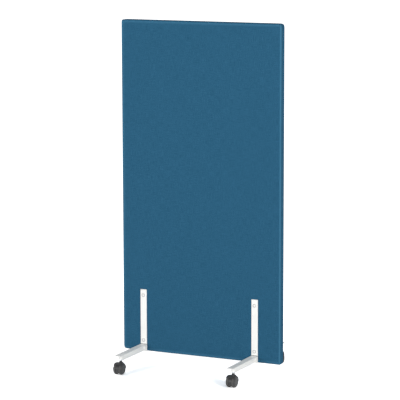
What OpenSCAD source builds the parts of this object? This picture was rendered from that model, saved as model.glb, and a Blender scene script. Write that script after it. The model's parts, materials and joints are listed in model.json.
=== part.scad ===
// Rolling partition: an upholstered panel on four bolted T feet with twin-wheel casters.
// The origin is on the floor under the middle of the panel: +Z up, -Y front, +X right.
// All sizes are in millimetres.

/* [Panel] */
// Width of the panel, side to side
panel_w = 750; // [600:10:1200]
// Height of the panel
panel_h = 1450; // [900:10:1800]
// Thickness of the panel over the cloth
panel_t = 40; // [34:1:60]
// Radius of the four corners, seen from the front
corner_r = 7; // [5:1:20]
// Radius of the padded edges
edge_r = 4; // [3:0.5:14]
// Thickness of the cloth
cloth_t = 1; // [0.6:0.1:2]
// Thickness of the foam under the cloth
foam_t = 5; // [3:0.5:8]

/* [Timber frame] */
// Width of the stiles and the top rail
timber_w = 45; // [30:1:60]
// Timber of the bottom rail above the lower bolts
rail_over_bolt = 27; // [15:1:60]
// Fixing board above the upper bolts
board_over_bolt = 70; // [20:1:150]
// Fixing board past the middle of its brackets
board_past = 35; // [15:1:60]
// Diameter of the frame screws
screw_d = 5; // [4:0.5:6]
// Length of the frame screws
screw_l = 80; // [70:1:100]
// Distance of the frame screws from the ends of each joint
screw_edge = 12; // [8:1:15]

/* [Foot brackets] */
// From the left edge of the panel to the middle of its brackets
left_inset = 102; // [80:1:250]
// From the right edge of the panel to the middle of its brackets
right_inset = 117; // [80:1:250]
// Width of the upright bars and of the foot flanges
bar_w = 29; // [26:1:50]
// Height of the upright bars
upright_h = 275; // [180:5:500]
// Thickness of the upright bars
upright_t = 4; // [3:0.5:8]
// Radius of the upright bars' top corners
upright_r = 1.5; // [0.5:0.5:6]
// Length of the foot bars, from the upright to the tip
foot_l = 250; // [150:5:400]
// Height of the foot bars
foot_h = 30; // [28:1:50]
// Thickness of the foot bars' flange
flange_t = 4; // [3:0.5:6]
// Thickness of the foot bars' web
web_t = 4; // [3:0.5:8]
// Radius between flange and web
root_r = 3; // [1:0.5:5]
// Diameter of the bosses that take the caster stems
boss_d = 20; // [16:1:26]
// From the foot's tip to the middle of its boss
boss_inset = 33; // [20:1:60]

/* [Connector bolts] */
// Height of the lower bolts over the bottom of the uprights
lower_bolt = 49; // [42:1:80]
// Distance of the upper bolts from the top of the uprights
upper_bolt = 26; // [12:1:60]
// Diameter of the bolts
bolt_d = 6; // [5:0.5:7]
// Length of the bolts under the head
bolt_l = 32; // [25:1:36]
// Outer diameter of the sleeve nuts
barrel_d = 9; // [8:0.5:11]
// Distance of the sleeve nuts' open end from the front of the panel
barrel_short = 6; // [3:1:10]
// Diameter of the bolt heads
head_d = 17; // [14:0.5:22]
// Thickness of the bolt heads
head_t = 2.4; // [2:0.1:4]
// Width of the hexagon sockets across the flats
socket_af = 4; // [3:0.5:5]
// Clearance around the bolts and sleeve nuts
bolt_gap = 0.3; // [0.1:0.1:0.6]

/* [Casters] */
// Diameter of the wheels
wheel_d = 50; // [44:1:75]
// Width over both wheels
caster_w = 43; // [41:1:60]
// Gap between the two wheels
wheel_gap = 14; // [13:0.5:16]
// Radius of the wheels' outer shoulders
shoulder_r = 10; // [7:0.5:11]
// Radius of the wheels' inner shoulders
inner_r = 3; // [1:0.5:4]
// Wall of the wheels
wheel_wall = 3; // [2:0.5:4]
// Thickness of the ribs inside the wheels
rib_t = 1.6; // [1:0.2:3]
// Outer diameter of the wheels' hubs
hub_d = 13; // [10:0.5:15]
// Depth of the hub caps
cap_t = 2; // [1.6:0.1:3]
// Diameter of the axles
axle_d = 6; // [5:0.5:7]
// Distance of the axle from the swivel axis
trail = 14; // [10:1:20]
// Turn of the rear casters about their stems
rear_turn = 31; // [0:1:60]
// Thickness of the hood
hood_t = 2; // [1.5:0.5:4]
// Gap between the wheels and the hood
hood_gap = 1; // [0.6:0.1:2]
// How far the hood stops short of the wheels' faces
hood_in = 1; // [0.5:0.5:3]
// Slope of the hood's front edge over the axle, in degrees
hood_front = 45; // [25:1:70]
// Gap between the wheels and the middle of the housing
side_play = 0.8; // [0.4:0.1:1.2]
// How far the middle of the housing stays inside the treads
web_in = 2; // [1:0.5:8]
// Height of the middle's lower edge over the floor
web_up = 8; // [5:0.5:12]
// Radius of the flare where the neck meets the hood
flare_r = 6; // [3:0.5:7]
// Straight part of the neck over the flare
neck_land = 2.6; // [1:0.1:3]
// Gap between the hood and the underside of the foot bars
under_gap = 2; // [1:0.5:10]
// From the top of the wheels to the underside of the bosses
stem_rise = 15; // [12:1:20]
// Diameter of the stems
stem_d = 8; // [6:0.5:8.5]
// Length of the stems' pins in the housings
pin_l = 21; // [16:1:24]
// Height of the stems' spanner collars
collar_h = 6; // [4:0.5:8]
// Width of the spanner collars across the flats
collar_af = 15; // [12:0.5:18]
// Gap between the collars and the necks
neck_gap = 0.4; // [0.2:0.1:1]
// Thickness of the retaining rings
ring_t = 1.2; // [0.8:0.1:2]
// Height of the retaining rings over the ends of the pins
ring_up = 5; // [3:0.5:8]
// Clearance of the turning fits, on the radius
run_gap = 0.05; // [0.02:0.01:0.1]

/* [Hidden] */
CORNERS = ["front_left", "front_right", "rear_left", "rear_right"];
PANEL_NODES = ["fabric_cover", "foam_front", "foam_rear", "absorber_core", "top_rail", "bottom_rail",
               "left_stile", "right_stile", "left_fixing_board", "right_fixing_board",
               "frame_screws", "connector_bolts", "sleeve_nuts", "retaining_rings"];
CORNER_PIECES = ["upright", "foot", "boss", "stem", "housing", "axle", "wheel_l", "wheel_r",
                 "cap_l", "cap_r"];

CLOTH = "#2d617f";
FOAM = "#e8dfc8";
CORE = "#8a8f86";
TIMBER = "#d9b98a";
WHITE = "#f1f1ef";
ZINC = "#c9cccf";
DARK = "#3b3c3e";

// Heights over the floor
wheel_r = wheel_d / 2;
panel_z = wheel_d + hood_gap + hood_t + under_gap;
seat_z = wheel_d + stem_rise;
collar_z = seat_z - collar_h;
neck_z = collar_z - neck_gap;

// Timber frame, inside the cloth and the foam
skin_t = cloth_t + foam_t;
timber_t = panel_t - 2 * skin_t;
frame_w = panel_w - 2 * skin_t;
frame_z = panel_z + skin_t;
frame_top = panel_z + panel_h - skin_t;
stile_in = frame_w / 2 - timber_w;
rail_top = panel_z + lower_bolt + rail_over_bolt;
board_top = panel_z + upright_h - upper_bolt + board_over_bolt;

// Brackets and bolts
left_x = left_inset - panel_w / 2;
right_x = panel_w / 2 - right_inset;
boss_h = panel_z + foot_h - flange_t - seat_z;
stem_y = panel_t / 2 + upright_t + foot_l - boss_inset;
boss_y = upright_t + foot_l - boss_inset;
bolt_z = [panel_z + lower_bolt, panel_z + upright_h - upper_bolt];
barrel_l = upright_t + panel_t - barrel_short;
head_floor = 0.8;

// Casters
wheel_in = wheel_gap / 2;
wheel_out = caster_w / 2;
shoulder_x = wheel_out - shoulder_r;
middle_x = wheel_in - side_play;
middle_r = wheel_r - web_in;
cap_r = wheel_r - shoulder_r - 2;
cap_x = wheel_out - cap_t;
disc_x = cap_x - wheel_wall;
end_play = 0.2;
hub_x = middle_x + end_play;
rivet_r = axle_d / 2 + 1.5;
rivet_t = 1;
cap_rise = 1;
cap_edge = 0.4;
ring_play = 0.2;
neck_r = stem_d / 2 + 2.2;
ring_r = stem_d / 2 + 1;
groove_r = stem_d / 2 - 0.8;
ring_z = collar_z - pin_l + ring_up;
fine = 96;

// ---- Shapes used by more than one piece ----

// A rectangle with round corners, of true arcs
module rounded(w, h, r) {
    union() {
        square([w - 2 * r, h], center = true);
        square([w, h - 2 * r], center = true);
        for (sx = [-1, 1], sy = [-1, 1])
            translate([sx * (w / 2 - r), sy * (h / 2 - r)]) circle(r, $fn = 48);
    }
}

// The padded outline of the panel, drawn in by a skin of the given depth
module panel_form(depth) {
    w = panel_w - 2 * depth;
    h = panel_h - 2 * depth;
    t = panel_t - 2 * depth;
    er = edge_r - depth;
    translate([0, 0, panel_z + panel_h / 2])
        intersection() {
            translate([0, 0, -h]) linear_extrude(2 * h) rounded(w, t, er);
            rotate([90, 0, 90]) translate([0, 0, -w]) linear_extrude(2 * w) rounded(t, h, er);
            rotate([90, 0, 0]) translate([0, 0, -t]) linear_extrude(2 * t)
                rounded(w, h, corner_r - depth);
        }
}

// A box from one corner to the opposite one
module block(low, high) {
    translate(low) cube(high - low);
}

// Straight round bars through the panel at every bolt, front to rear
module at_bolts() {
    for (x = [left_x, right_x], z = bolt_z) translate([x, 0, z]) rotate([90, 0, 0]) children();
}

module bolt_holes(d) {
    at_bolts() cylinder(d = d, h = 2 * panel_t, center = true, $fn = 48);
}

// Frame screws stand in through each stile: two in each rail, two in each fixing board
screw_zs = [frame_z + screw_edge, rail_top - screw_edge, rail_top + 2 * screw_edge,
            board_top - 2 * screw_edge, frame_top - timber_w + screw_edge, frame_top - screw_edge];

module screws() {
    for (side = [-1, 1], z = screw_zs)
        translate([side * frame_w / 2, 0, z]) rotate([0, -90 * side, 0]) {
            cylinder(d = screw_d, h = screw_l, $fn = 24);
            cylinder(r1 = screw_d, r2 = screw_d / 2, h = screw_d / 2, $fn = 24);
        }
}

// Timber cut for the bolts and the frame screws
module drilled() {
    difference() {
        children();
        bolt_holes(barrel_d + 2 * bolt_gap);
        screws();
    }
}

// ---- Panel ----

module fabric_cover() {
    color(CLOTH) difference() {
        panel_form(0);
        panel_form(cloth_t);
        bolt_holes(barrel_d + 2 * bolt_gap);
    }
}

// One half of the foam, a shallow tray that wraps the frame to the middle of its edges
module foam_half(side) {
    color(FOAM) difference() {
        intersection() {
            panel_form(cloth_t);
            translate([0, side * panel_t / 2, panel_z + panel_h / 2])
                cube([2 * panel_w, panel_t, 2 * panel_h], center = true);
        }
        frame_form();
        bolt_holes(barrel_d + 2 * bolt_gap);
    }
}

module foam_front() { foam_half(-1); }
module foam_rear() { foam_half(1); }

// The whole frame as one block, with its corners rounded inside the foam's
module frame_form() {
    translate([0, timber_t / 2, (frame_z + frame_top) / 2]) rotate([90, 0, 0])
        linear_extrude(timber_t)
            rounded(frame_w, frame_top - frame_z, max(1, corner_r - skin_t));
}

module stile(side) {
    color(TIMBER) drilled() intersection() {
        frame_form();
        translate([side * (frame_w / 2 - timber_w / 2), 0, panel_z + panel_h / 2])
            cube([timber_w, panel_t, 2 * panel_h], center = true);
    }
}

module left_stile() { stile(-1); }
module right_stile() { stile(1); }

module rail(low, high) {
    color(TIMBER) drilled() block([-stile_in, -timber_t / 2, low], [stile_in, timber_t / 2, high]);
}

module bottom_rail() { rail(frame_z, rail_top); }
module top_rail() { rail(frame_top - timber_w, frame_top); }

module board_form(side) {
    x = side < 0 ? left_x : right_x;
    block([min(side * stile_in, x - side * board_past), -timber_t / 2, rail_top],
          [max(side * stile_in, x - side * board_past), timber_t / 2, board_top]);
}

module left_fixing_board() { color(TIMBER) drilled() board_form(-1); }
module right_fixing_board() { color(TIMBER) drilled() board_form(1); }

module absorber_core() {
    color(CORE) difference() {
        block([-stile_in, -timber_t / 2, rail_top], [stile_in, timber_t / 2, frame_top - timber_w]);
        board_form(-1);
        board_form(1);
    }
}

module frame_screws() { color(ZINC) screws(); }

// ---- Connector bolts: flat round heads in front, sleeve nuts from the rear ----

// A flat head with an eased rim and a hexagon socket, its seat at z = 0
module flat_head() {
    rim = head_t / 3;
    difference() {
        rotate_extrude($fn = 64) union() {
            square([head_d / 2, head_t - rim]);
            square([head_d / 2 - rim, head_t]);
            translate([head_d / 2 - rim, head_t - rim]) circle(rim, $fn = 32);
        }
        translate([0, 0, head_floor])
            cylinder(d = socket_af / cos(30), h = head_t, $fn = 6);
    }
}

module connector_bolts() {
    color(WHITE) at_bolts() translate([0, 0, panel_t / 2 + upright_t]) {
        flat_head();
        translate([0, 0, -bolt_l]) cylinder(d = bolt_d, h = bolt_l, $fn = 32);
    }
}

module sleeve_nuts() {
    color(WHITE) at_bolts() translate([0, 0, -panel_t / 2 - upright_t]) mirror([0, 0, 1]) {
        flat_head();
        translate([0, 0, -barrel_l]) difference() {
            cylinder(d = barrel_d, h = barrel_l, $fn = 48);
            translate([0, 0, -1]) cylinder(d = bolt_d, h = barrel_l - 2, $fn = 32);
        }
    }
}

// ---- Foot brackets, drawn standing out to -Y from the panel's face at their own middle ----

module at_corner(i) {
    rear = i > 1;
    x = i % 2 == 0 ? left_x : right_x;
    translate([x, (rear ? 1 : -1) * panel_t / 2, panel_z]) rotate([0, 0, rear ? 180 : 0]) children();
}

// Uprights take the bolt in front and the wider sleeve nut behind
module upright(i) {
    hole = i > 1 ? barrel_d + 2 * bolt_gap : bolt_d + 2 * bolt_gap;
    color(WHITE) at_corner(i) difference() {
        rotate([90, 0, 0]) linear_extrude(upright_t) union() {
            translate([-bar_w / 2, 0]) square([bar_w, upright_h - upright_r]);
            translate([-bar_w / 2 + upright_r, 0]) square([bar_w - 2 * upright_r, upright_h]);
            for (sx = [-1, 1]) translate([sx * (bar_w / 2 - upright_r), upright_h - upright_r])
                circle(upright_r, $fn = 32);
        }
        for (z = bolt_z) translate([0, 0, z - panel_z]) rotate([90, 0, 0])
            cylinder(d = hole, h = 4 * upright_t, center = true, $fn = 48);
    }
}

// Section of the foot bar: flange above, web below, a round root on each side
module tee() {
    under = foot_h - flange_t;
    union() {
        translate([-bar_w / 2, under]) square([bar_w, flange_t]);
        translate([-web_t / 2, 0]) square([web_t, under + flange_t / 2]);
        for (s = [-1, 1]) difference() {
            translate([s * (web_t + root_r) / 2, under - root_r / 2])
                square([root_r, root_r], center = true);
            translate([s * (web_t / 2 + root_r), under - root_r]) circle(root_r, $fn = 32);
        }
    }
}

// The web stops at the boss and the flange runs on to the tip
module foot(i) {
    color(WHITE) at_corner(i) difference() {
        translate([0, -upright_t, 0]) rotate([90, 0, 0]) linear_extrude(foot_l) tee();
        translate([-bar_w, -upright_t - foot_l - 1, -1])
            cube([2 * bar_w, boss_inset + 1, foot_h - flange_t + 1]);
        translate([0, -boss_y, -1]) cylinder(d = boss_d, h = foot_h - flange_t + 1, $fn = 64);
    }
}

module boss(i) {
    color(WHITE) at_corner(i) translate([0, -boss_y, seat_z - panel_z]) difference() {
        cylinder(d = boss_d, h = boss_h, $fn = 64);
        translate([0, 0, -1]) cylinder(d = stem_d, h = boss_h + 2, $fn = 48);
    }
}

// ---- Casters, drawn about their swivel axis with the axle to -Y, on the floor ----

module at_caster(i) {
    rear = i > 1;
    x = i % 2 == 0 ? left_x : right_x;
    translate([x, (rear ? 1 : -1) * stem_y, 0])
        rotate([0, 0, rear ? rear_turn : 0]) children();
}

// Spins a profile of radius and distance along the axle
module spin_x() {
    translate([0, -trail, wheel_r]) rotate([0, 90, 0]) rotate_extrude($fn = fine) children();
}

// Thread in the boss, spanner collar, and the pin with a groove for its retaining ring
module stem(i) {
    tip = collar_z - pin_l;
    color(ZINC) at_caster(i) {
        rotate_extrude($fn = 48) difference() {
            union() {
                translate([0, tip + 1]) square([stem_d / 2, seat_z + boss_h - 2 - tip - 1]);
                polygon([[0, tip], [stem_d / 2 - 1, tip], [stem_d / 2, tip + 1], [0, tip + 1]]);
            }
            translate([groove_r, ring_z]) square([stem_d, ring_t]);
        }
        translate([0, 0, collar_z]) cylinder(d = collar_af / cos(30), h = collar_h, $fn = 6);
    }
}

module retaining_rings() {
    color(ZINC) for (i = [0:3]) at_caster(i) translate([0, 0, ring_z]) difference() {
        cylinder(r = ring_r, h = ring_t, $fn = 48);
        translate([0, 0, -1]) cylinder(r = groove_r, h = ring_t + 2, $fn = 48);
    }
}

// Half profile of a wheel: radius across, distance along the axle up
module wheel_profile() {
    intersection() {
        union() {
            square([wheel_r - shoulder_r, wheel_out]);
            square([wheel_r - inner_r, shoulder_x]);
            translate([0, wheel_in + inner_r]) square([wheel_r, shoulder_x - wheel_in - inner_r]);
            translate([wheel_r - shoulder_r, shoulder_x]) circle(shoulder_r, $fn = 64);
            translate([wheel_r - inner_r, wheel_in + inner_r]) circle(inner_r, $fn = 48);
        }
        translate([0, wheel_in]) square([2 * wheel_r, wheel_out]);
    }
}

// The hollow of a wheel, open towards the housing
module hollow_profile() {
    intersection() {
        union() {
            square([wheel_r - shoulder_r, disc_x]);
            square([wheel_r - wheel_wall, shoulder_x]);
            translate([wheel_r - shoulder_r, shoulder_x]) circle(shoulder_r - wheel_wall, $fn = 64);
        }
        translate([hub_d / 2, 0]) square([wheel_r, disc_x]);
    }
}

module wheel(i, side) {
    color(DARK) at_caster(i) mirror([side < 0 ? 1 : 0, 0, 0]) {
        difference() {
            union() {
                spin_x() wheel_profile();
                translate([hub_x, -trail, wheel_r]) rotate([0, 90, 0])
                    cylinder(d = hub_d, h = cap_x - hub_x, $fn = 64);
            }
            difference() {
                spin_x() hollow_profile();
                wheel_ribs();
            }
            translate([cap_x, -trail, wheel_r]) rotate([0, 90, 0])
                cylinder(r = cap_r, h = cap_t + 1, $fn = 64);
            translate([0, -trail, wheel_r]) rotate([0, 90, 0])
                cylinder(r = axle_d / 2 + run_gap, h = caster_w, $fn = 48);
        }
    }
}

module wheel_ribs() {
    for (k = [0:5]) translate([0, -trail, wheel_r]) rotate([60 * k, 0, 0])
        translate([wheel_in + inner_r, -rib_t / 2, 0]) cube([wheel_out, rib_t, wheel_r]);
}

// A shallow domed cap, hollow over the riveted end of the axle
module cap(i, side) {
    dome = (cap_r * cap_r + cap_rise * cap_rise) / (2 * cap_rise);
    color(DARK) at_caster(i) mirror([side < 0 ? 1 : 0, 0, 0]) spin_x() difference() {
        intersection() {
            translate([0, wheel_out - cap_edge + cap_rise - dome]) circle(dome, $fn = 256);
            translate([0, cap_x]) square([cap_r, 2 * cap_t + cap_rise]);
        }
        square([rivet_r + end_play, cap_x + 2 * end_play + rivet_t]);
    }
}

module axle(i) {
    color(ZINC) at_caster(i) for (s = [0, 1]) mirror([s, 0, 0])
        translate([0, -trail, wheel_r]) rotate([0, 90, 0]) {
            cylinder(d = axle_d, h = cap_x + end_play + rivet_t, $fn = 48);
            translate([0, 0, cap_x + end_play]) cylinder(r = rivet_r, h = rivet_t, $fn = 48);
        }
}

// Outside of the hood, the wheels' own outline with the gap and the hood's wall added
module hood_profile() {
    grow = hood_gap + hood_t;
    intersection() {
        union() {
            translate([0, -shoulder_x]) square([wheel_r + grow, 2 * shoulder_x]);
            translate([0, -wheel_out]) square([wheel_r - shoulder_r, 2 * wheel_out]);
            for (s = [-1, 1]) translate([wheel_r - shoulder_r, s * shoulder_x])
                circle(shoulder_r + grow, $fn = 96);
        }
        translate([0, hood_in - wheel_out]) square([2 * wheel_r, 2 * (wheel_out - hood_in)]);
    }
}

// Room for one wheel, on the +X side of the housing
module wheel_room() {
    spin_x() intersection() {
        union() {
            square([wheel_r + hood_gap, shoulder_x]);
            square([wheel_r - shoulder_r, 2 * wheel_out]);
            translate([wheel_r - shoulder_r, shoulder_x]) circle(shoulder_r + hood_gap, $fn = 96);
        }
        translate([0, middle_x]) square([2 * wheel_r, 2 * wheel_out]);
    }
}

// The neck, flared where it comes down on the hood
module neck() {
    flare_z = neck_z - neck_land;
    rotate_extrude($fn = 64) union() {
        translate([0, wheel_r]) square([neck_r + flare_r, flare_z - flare_r - wheel_r]);
        translate([0, wheel_r]) square([neck_r, neck_z - wheel_r]);
        difference() {
            translate([neck_r, flare_z - flare_r]) square([flare_r, flare_r]);
            translate([neck_r + flare_r, flare_z]) circle(flare_r, $fn = 64);
        }
    }
}

// Hood over both wheels, a middle between them for the axle, and the neck round the stem
module housing(i) {
    far = 3 * wheel_r;
    front = 180 - hood_front;
    color(DARK) at_caster(i) difference() {
        union() {
            intersection() {
                spin_x() hood_profile();
                translate([-caster_w, -trail, wheel_r]) rotate([90, 0, 90])
                    linear_extrude(2 * caster_w)
                        polygon([[0, 0], [far, 0], [far, far], [0, far],
                                 [far * cos(front), far * sin(front)]]);
            }
            intersection() {
                translate([-middle_x, -trail, wheel_r]) rotate([0, 90, 0])
                    cylinder(r = middle_r, h = 2 * middle_x, $fn = fine);
                block([-caster_w, -wheel_d, web_up], [caster_w, wheel_d, wheel_d]);
            }
            neck();
        }
        wheel_room();
        mirror([1, 0, 0]) wheel_room();
        translate([0, -trail, wheel_r]) rotate([0, 90, 0])
            cylinder(d = axle_d, h = caster_w, center = true, $fn = 48);
        translate([0, 0, collar_z - pin_l - 1])
            cylinder(r = stem_d / 2 + run_gap, h = pin_l + 2, $fn = 48);
        translate([0, 0, ring_z - ring_play])
            cylinder(r = ring_r + ring_play, h = ring_t + 2 * ring_play, $fn = 48);
    }
}

// ---- Every node ----

fabric_cover();
foam_front();
foam_rear();
absorber_core();
top_rail();
bottom_rail();
left_stile();
right_stile();
left_fixing_board();
right_fixing_board();
frame_screws();
connector_bolts();
sleeve_nuts();
retaining_rings();
for (i = [0:3]) {
    upright(i);
    foot(i);
    boss(i);
    stem(i);
    housing(i);
    axle(i);
    wheel(i, -1);
    wheel(i, 1);
    cap(i, -1);
    cap(i, 1);
}
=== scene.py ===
"""Looks of the rolling partition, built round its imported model.

Lengths are in metres in the object's own frame: +Z up, -Y front, the floor at z = 0.
"""

import json
import math

import bmesh
import bpy
import numpy as np
from mathutils import Matrix, Vector, noise

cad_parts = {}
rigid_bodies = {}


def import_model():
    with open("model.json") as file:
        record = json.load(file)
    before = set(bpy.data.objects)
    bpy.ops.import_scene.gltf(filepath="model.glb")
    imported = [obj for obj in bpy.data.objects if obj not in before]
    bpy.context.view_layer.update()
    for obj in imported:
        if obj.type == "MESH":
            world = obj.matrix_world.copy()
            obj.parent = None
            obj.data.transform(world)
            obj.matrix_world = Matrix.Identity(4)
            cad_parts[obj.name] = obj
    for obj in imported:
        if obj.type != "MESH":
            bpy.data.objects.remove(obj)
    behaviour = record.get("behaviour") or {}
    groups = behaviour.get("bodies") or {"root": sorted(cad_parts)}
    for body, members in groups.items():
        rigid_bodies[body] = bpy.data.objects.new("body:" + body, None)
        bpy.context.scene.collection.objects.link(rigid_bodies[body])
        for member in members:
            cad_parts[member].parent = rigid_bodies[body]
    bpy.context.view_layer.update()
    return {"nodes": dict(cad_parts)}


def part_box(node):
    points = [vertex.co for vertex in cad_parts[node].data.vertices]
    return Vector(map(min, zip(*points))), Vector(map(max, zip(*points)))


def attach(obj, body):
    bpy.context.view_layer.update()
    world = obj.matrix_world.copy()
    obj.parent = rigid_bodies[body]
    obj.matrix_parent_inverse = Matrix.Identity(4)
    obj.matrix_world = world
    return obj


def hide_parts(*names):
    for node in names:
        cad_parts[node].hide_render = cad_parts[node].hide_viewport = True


MM = 0.001

for leftover in list(bpy.data.objects):
    bpy.data.objects.remove(leftover)
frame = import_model()
NODES = frame["nodes"]

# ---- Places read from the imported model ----

PANEL_LOW, PANEL_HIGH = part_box("fabric_cover")
PANEL_HALF_W = PANEL_HIGH.x
PANEL_HALF_T = PANEL_HIGH.y
PANEL_MID_Z = (PANEL_LOW.z + PANEL_HIGH.z) / 2
PANEL_HALF_H = (PANEL_HIGH.z - PANEL_LOW.z) / 2

# The cover's rounding, along its edges and at its corners. A corner is (side, height), and -1 is
# left or low. Under the foam all corners are alike.
EDGE_R = 6.5 * MM
INNER_CORNER_R = 7 * MM
CORNER_R = {(-1, 1): 10 * MM, (1, 1): 14 * MM, (-1, -1): 13 * MM, (1, -1): 5 * MM}

CORNERS = ["front_left", "front_right", "rear_left", "rear_right"]
TRAIL = 14 * MM
REAR_TURN = math.radians(31)
WHEEL_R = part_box("front_left_wheel_l")[1].z / 2
BAR_W = 29 * MM
UPRIGHT_T = 4 * MM


def middle_x(node):
    low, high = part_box(node)
    return (low.x + high.x) / 2


def is_rear(corner):
    return corner.startswith("rear")


def corner_place(corner):
    """Where a bracket stands: modelled towards -Y from the panel's face, at its own middle."""
    side = 1 if is_rear(corner) else -1
    turn = math.pi if is_rear(corner) else 0
    spot = (middle_x(corner + "_upright"), side * PANEL_HALF_T, PANEL_LOW.z)
    return Matrix.Translation(spot) @ Matrix.Rotation(turn, 4, "Z")


def caster_place(corner):
    """Where a caster stands: modelled about its swivel axis with the axle to -Y."""
    low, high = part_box(corner + "_boss")
    turn = REAR_TURN if is_rear(corner) else 0
    spot = ((low.x + high.x) / 2, (low.y + high.y) / 2, 0)
    return Matrix.Translation(spot) @ Matrix.Rotation(turn, 4, "Z")


# ---- Node trees ----


class Tree:
    """Adds nodes to a tree. Inputs are given by name or number, as a value or a socket to link."""

    def __init__(self, tree):
        self.tree = tree

    def put(self, socket, value):
        if isinstance(value, bpy.types.NodeSocket):
            self.tree.links.new(value, socket)
        else:
            socket.default_value = value

    def add(self, kind, inputs=None, **settings):
        node = self.tree.nodes.new(kind)
        for key, value in settings.items():
            setattr(node, key, value)
        for key, value in (inputs or {}).items():
            self.put(node.inputs[key], value)
        return node

    def out(self, kind, inputs=None, **settings):
        """The first output of a new node."""
        return self.add(kind, inputs, **settings).outputs[0]

    def math(self, operation, *values):
        return self.out("ShaderNodeMath", dict(enumerate(values)), operation=operation)

    def ramp(self, value, low, high, to_low=0.0, to_high=1.0):
        """A smooth step of value between low and high."""
        return self.out(
            "ShaderNodeMapRange",
            {0: value, 1: low, 2: high, 3: to_low, 4: to_high},
            interpolation_type="SMOOTHSTEP",
        )

    def mix(self, share, first, second, blend_type="MIX"):
        node = self.add(
            "ShaderNodeMix",
            {0: share, 6: first, 7: second},
            data_type="RGBA",
            blend_type=blend_type,
        )
        return node.outputs[2]

    def noise(self, where, scale, detail=2.0, rough=0.5, distortion=0.0):
        node = self.add(
            "ShaderNodeTexNoise",
            {
                "Vector": where,
                "Scale": scale,
                "Detail": detail,
                "Roughness": rough,
                "Distortion": distortion,
            },
        )
        return node.outputs["Fac"]

    def stretched(self, where, scale):
        return self.out("ShaderNodeMapping", {"Vector": where, "Scale": scale})

    def attribute(self, name):
        node = self.add("ShaderNodeAttribute", attribute_name=name)
        return node.outputs["Fac"]

    def bump(self, height, strength, distance, normal=None):
        inputs = {"Height": height, "Strength": strength, "Distance": distance}
        if normal is not None:
            inputs["Normal"] = normal
        return self.out("ShaderNodeBump", inputs)


def linear(red, green, blue):
    """An 8-bit display colour as the linear colour that the shaders take."""
    values = []
    for c in (red, green, blue):
        c /= 255
        values.append(c / 12.92 if c <= 0.04045 else ((c + 0.055) / 1.055) ** 2.4)
    return (*values, 1.0)


def finish(name, **fixed):
    """A material with its shader's own sockets set. Returns it, its tree and its shader."""
    material = bpy.data.materials.new(name)
    material.use_nodes = True
    tree = Tree(material.node_tree)
    shader = material.node_tree.nodes["Principled BSDF"]
    for socket, value in fixed.items():
        shader.inputs[socket.replace("_", " ")].default_value = value
    return material, tree, shader


def dress(tree, shader, colour, normal, roughness=None):
    """Links what varies over the surface to the shader's sockets."""
    tree.put(shader.inputs["Base Color"], colour)
    tree.put(shader.inputs["Normal"], normal)
    if roughness is not None:
        tree.put(shader.inputs["Roughness"], roughness)


def object_place(tree):
    return tree.add("ShaderNodeTexCoord").outputs["Object"]


def woven_cloth(name, dark, light, fleck, painted_highlight, pitch):
    """Plain weave of two-tone yarns, with a painted highlight along the panel's rounded edges.

    The weave follows the piece's own map, in metres; 'edge_highlight' is a point's share of
    painted highlight.
    """
    material, tree, shader = finish(
        name,
        Roughness=0.85,
        Specular_IOR_Level=0.1,
        Sheen_Weight=0.04,
        Sheen_Roughness=0.4,
        Sheen_Tint=fleck,
    )
    laid = tree.out("ShaderNodeUVMap", uv_map="laid")
    parts = tree.add("ShaderNodeSeparateXYZ", {0: laid}).outputs
    across = tree.math("SINE", tree.math("MULTIPLY", parts[0], math.pi / pitch))
    along = tree.math("SINE", tree.math("MULTIPLY", parts[1], math.pi / pitch))
    over = tree.math("GREATER_THAN", tree.math("MULTIPLY", across, along), 0.0)
    width, length = tree.math("ABSOLUTE", across), tree.math("ABSOLUTE", along)
    warp = tree.math("MULTIPLY", width, tree.math("POWER", length, 0.4))
    weft = tree.math("MULTIPLY", length, tree.math("POWER", width, 0.4))
    crown = tree.out("ShaderNodeMix", {0: over, 2: weft, 3: warp})
    yarn = 1 / pitch
    warp_tone = tree.noise(tree.stretched(laid, (yarn, yarn / 26, 1)), 1.0, 3.0, 0.65)
    weft_tone = tree.noise(tree.stretched(laid, (yarn / 26, yarn, 1)), 1.0, 3.0, 0.65)
    tone = tree.out("ShaderNodeMix", {0: over, 2: weft_tone, 3: warp_tone})
    cloud = tree.noise(laid, 9.0, 3.0, 0.55)
    tone = tree.math(
        "ADD",
        tree.math("MULTIPLY", tone, 0.96),
        tree.math("MULTIPLY", cloud, 0.04),
    )
    body = tree.mix(tree.ramp(tone, 0.33, 0.67), dark, light)
    # Painted highlight: a lighter colour along the rounded edges, where light catches the cloth.
    highlight_mask = tree.attribute("edge_highlight")
    body = tree.mix(tree.math("MULTIPLY", highlight_mask, 0.8), body, painted_highlight)
    fibre = tree.noise(laid, 2.2 / pitch, 2.0, 0.7)
    flecked = tree.mix(tree.ramp(fibre, 0.66, 0.8, 0.0, 0.4), body, fleck)
    # Painted shade between the yarns: darker where the weave's crown is low.
    shaded = tree.mix(tree.ramp(crown, 0.0, 0.45, 0.5, 0.0), flecked, dark, "MULTIPLY")
    fuzz = tree.bump(fibre, 0.25, 0.1 * MM)
    dress(tree, shader, shaded, tree.bump(crown, 0.45, 0.22 * MM, fuzz))
    return material


def sewing_thread(name, colour, sheen):
    material, tree, shader = finish(name, Roughness=0.6, Sheen_Weight=0.3)
    twist = tree.noise(tree.stretched(object_place(tree), (900, 2600, 900)), 1.0)
    tone = tree.mix(twist, colour, sheen)
    dress(tree, shader, tone, tree.bump(twist, 0.4, 0.08 * MM))
    return material


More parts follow.
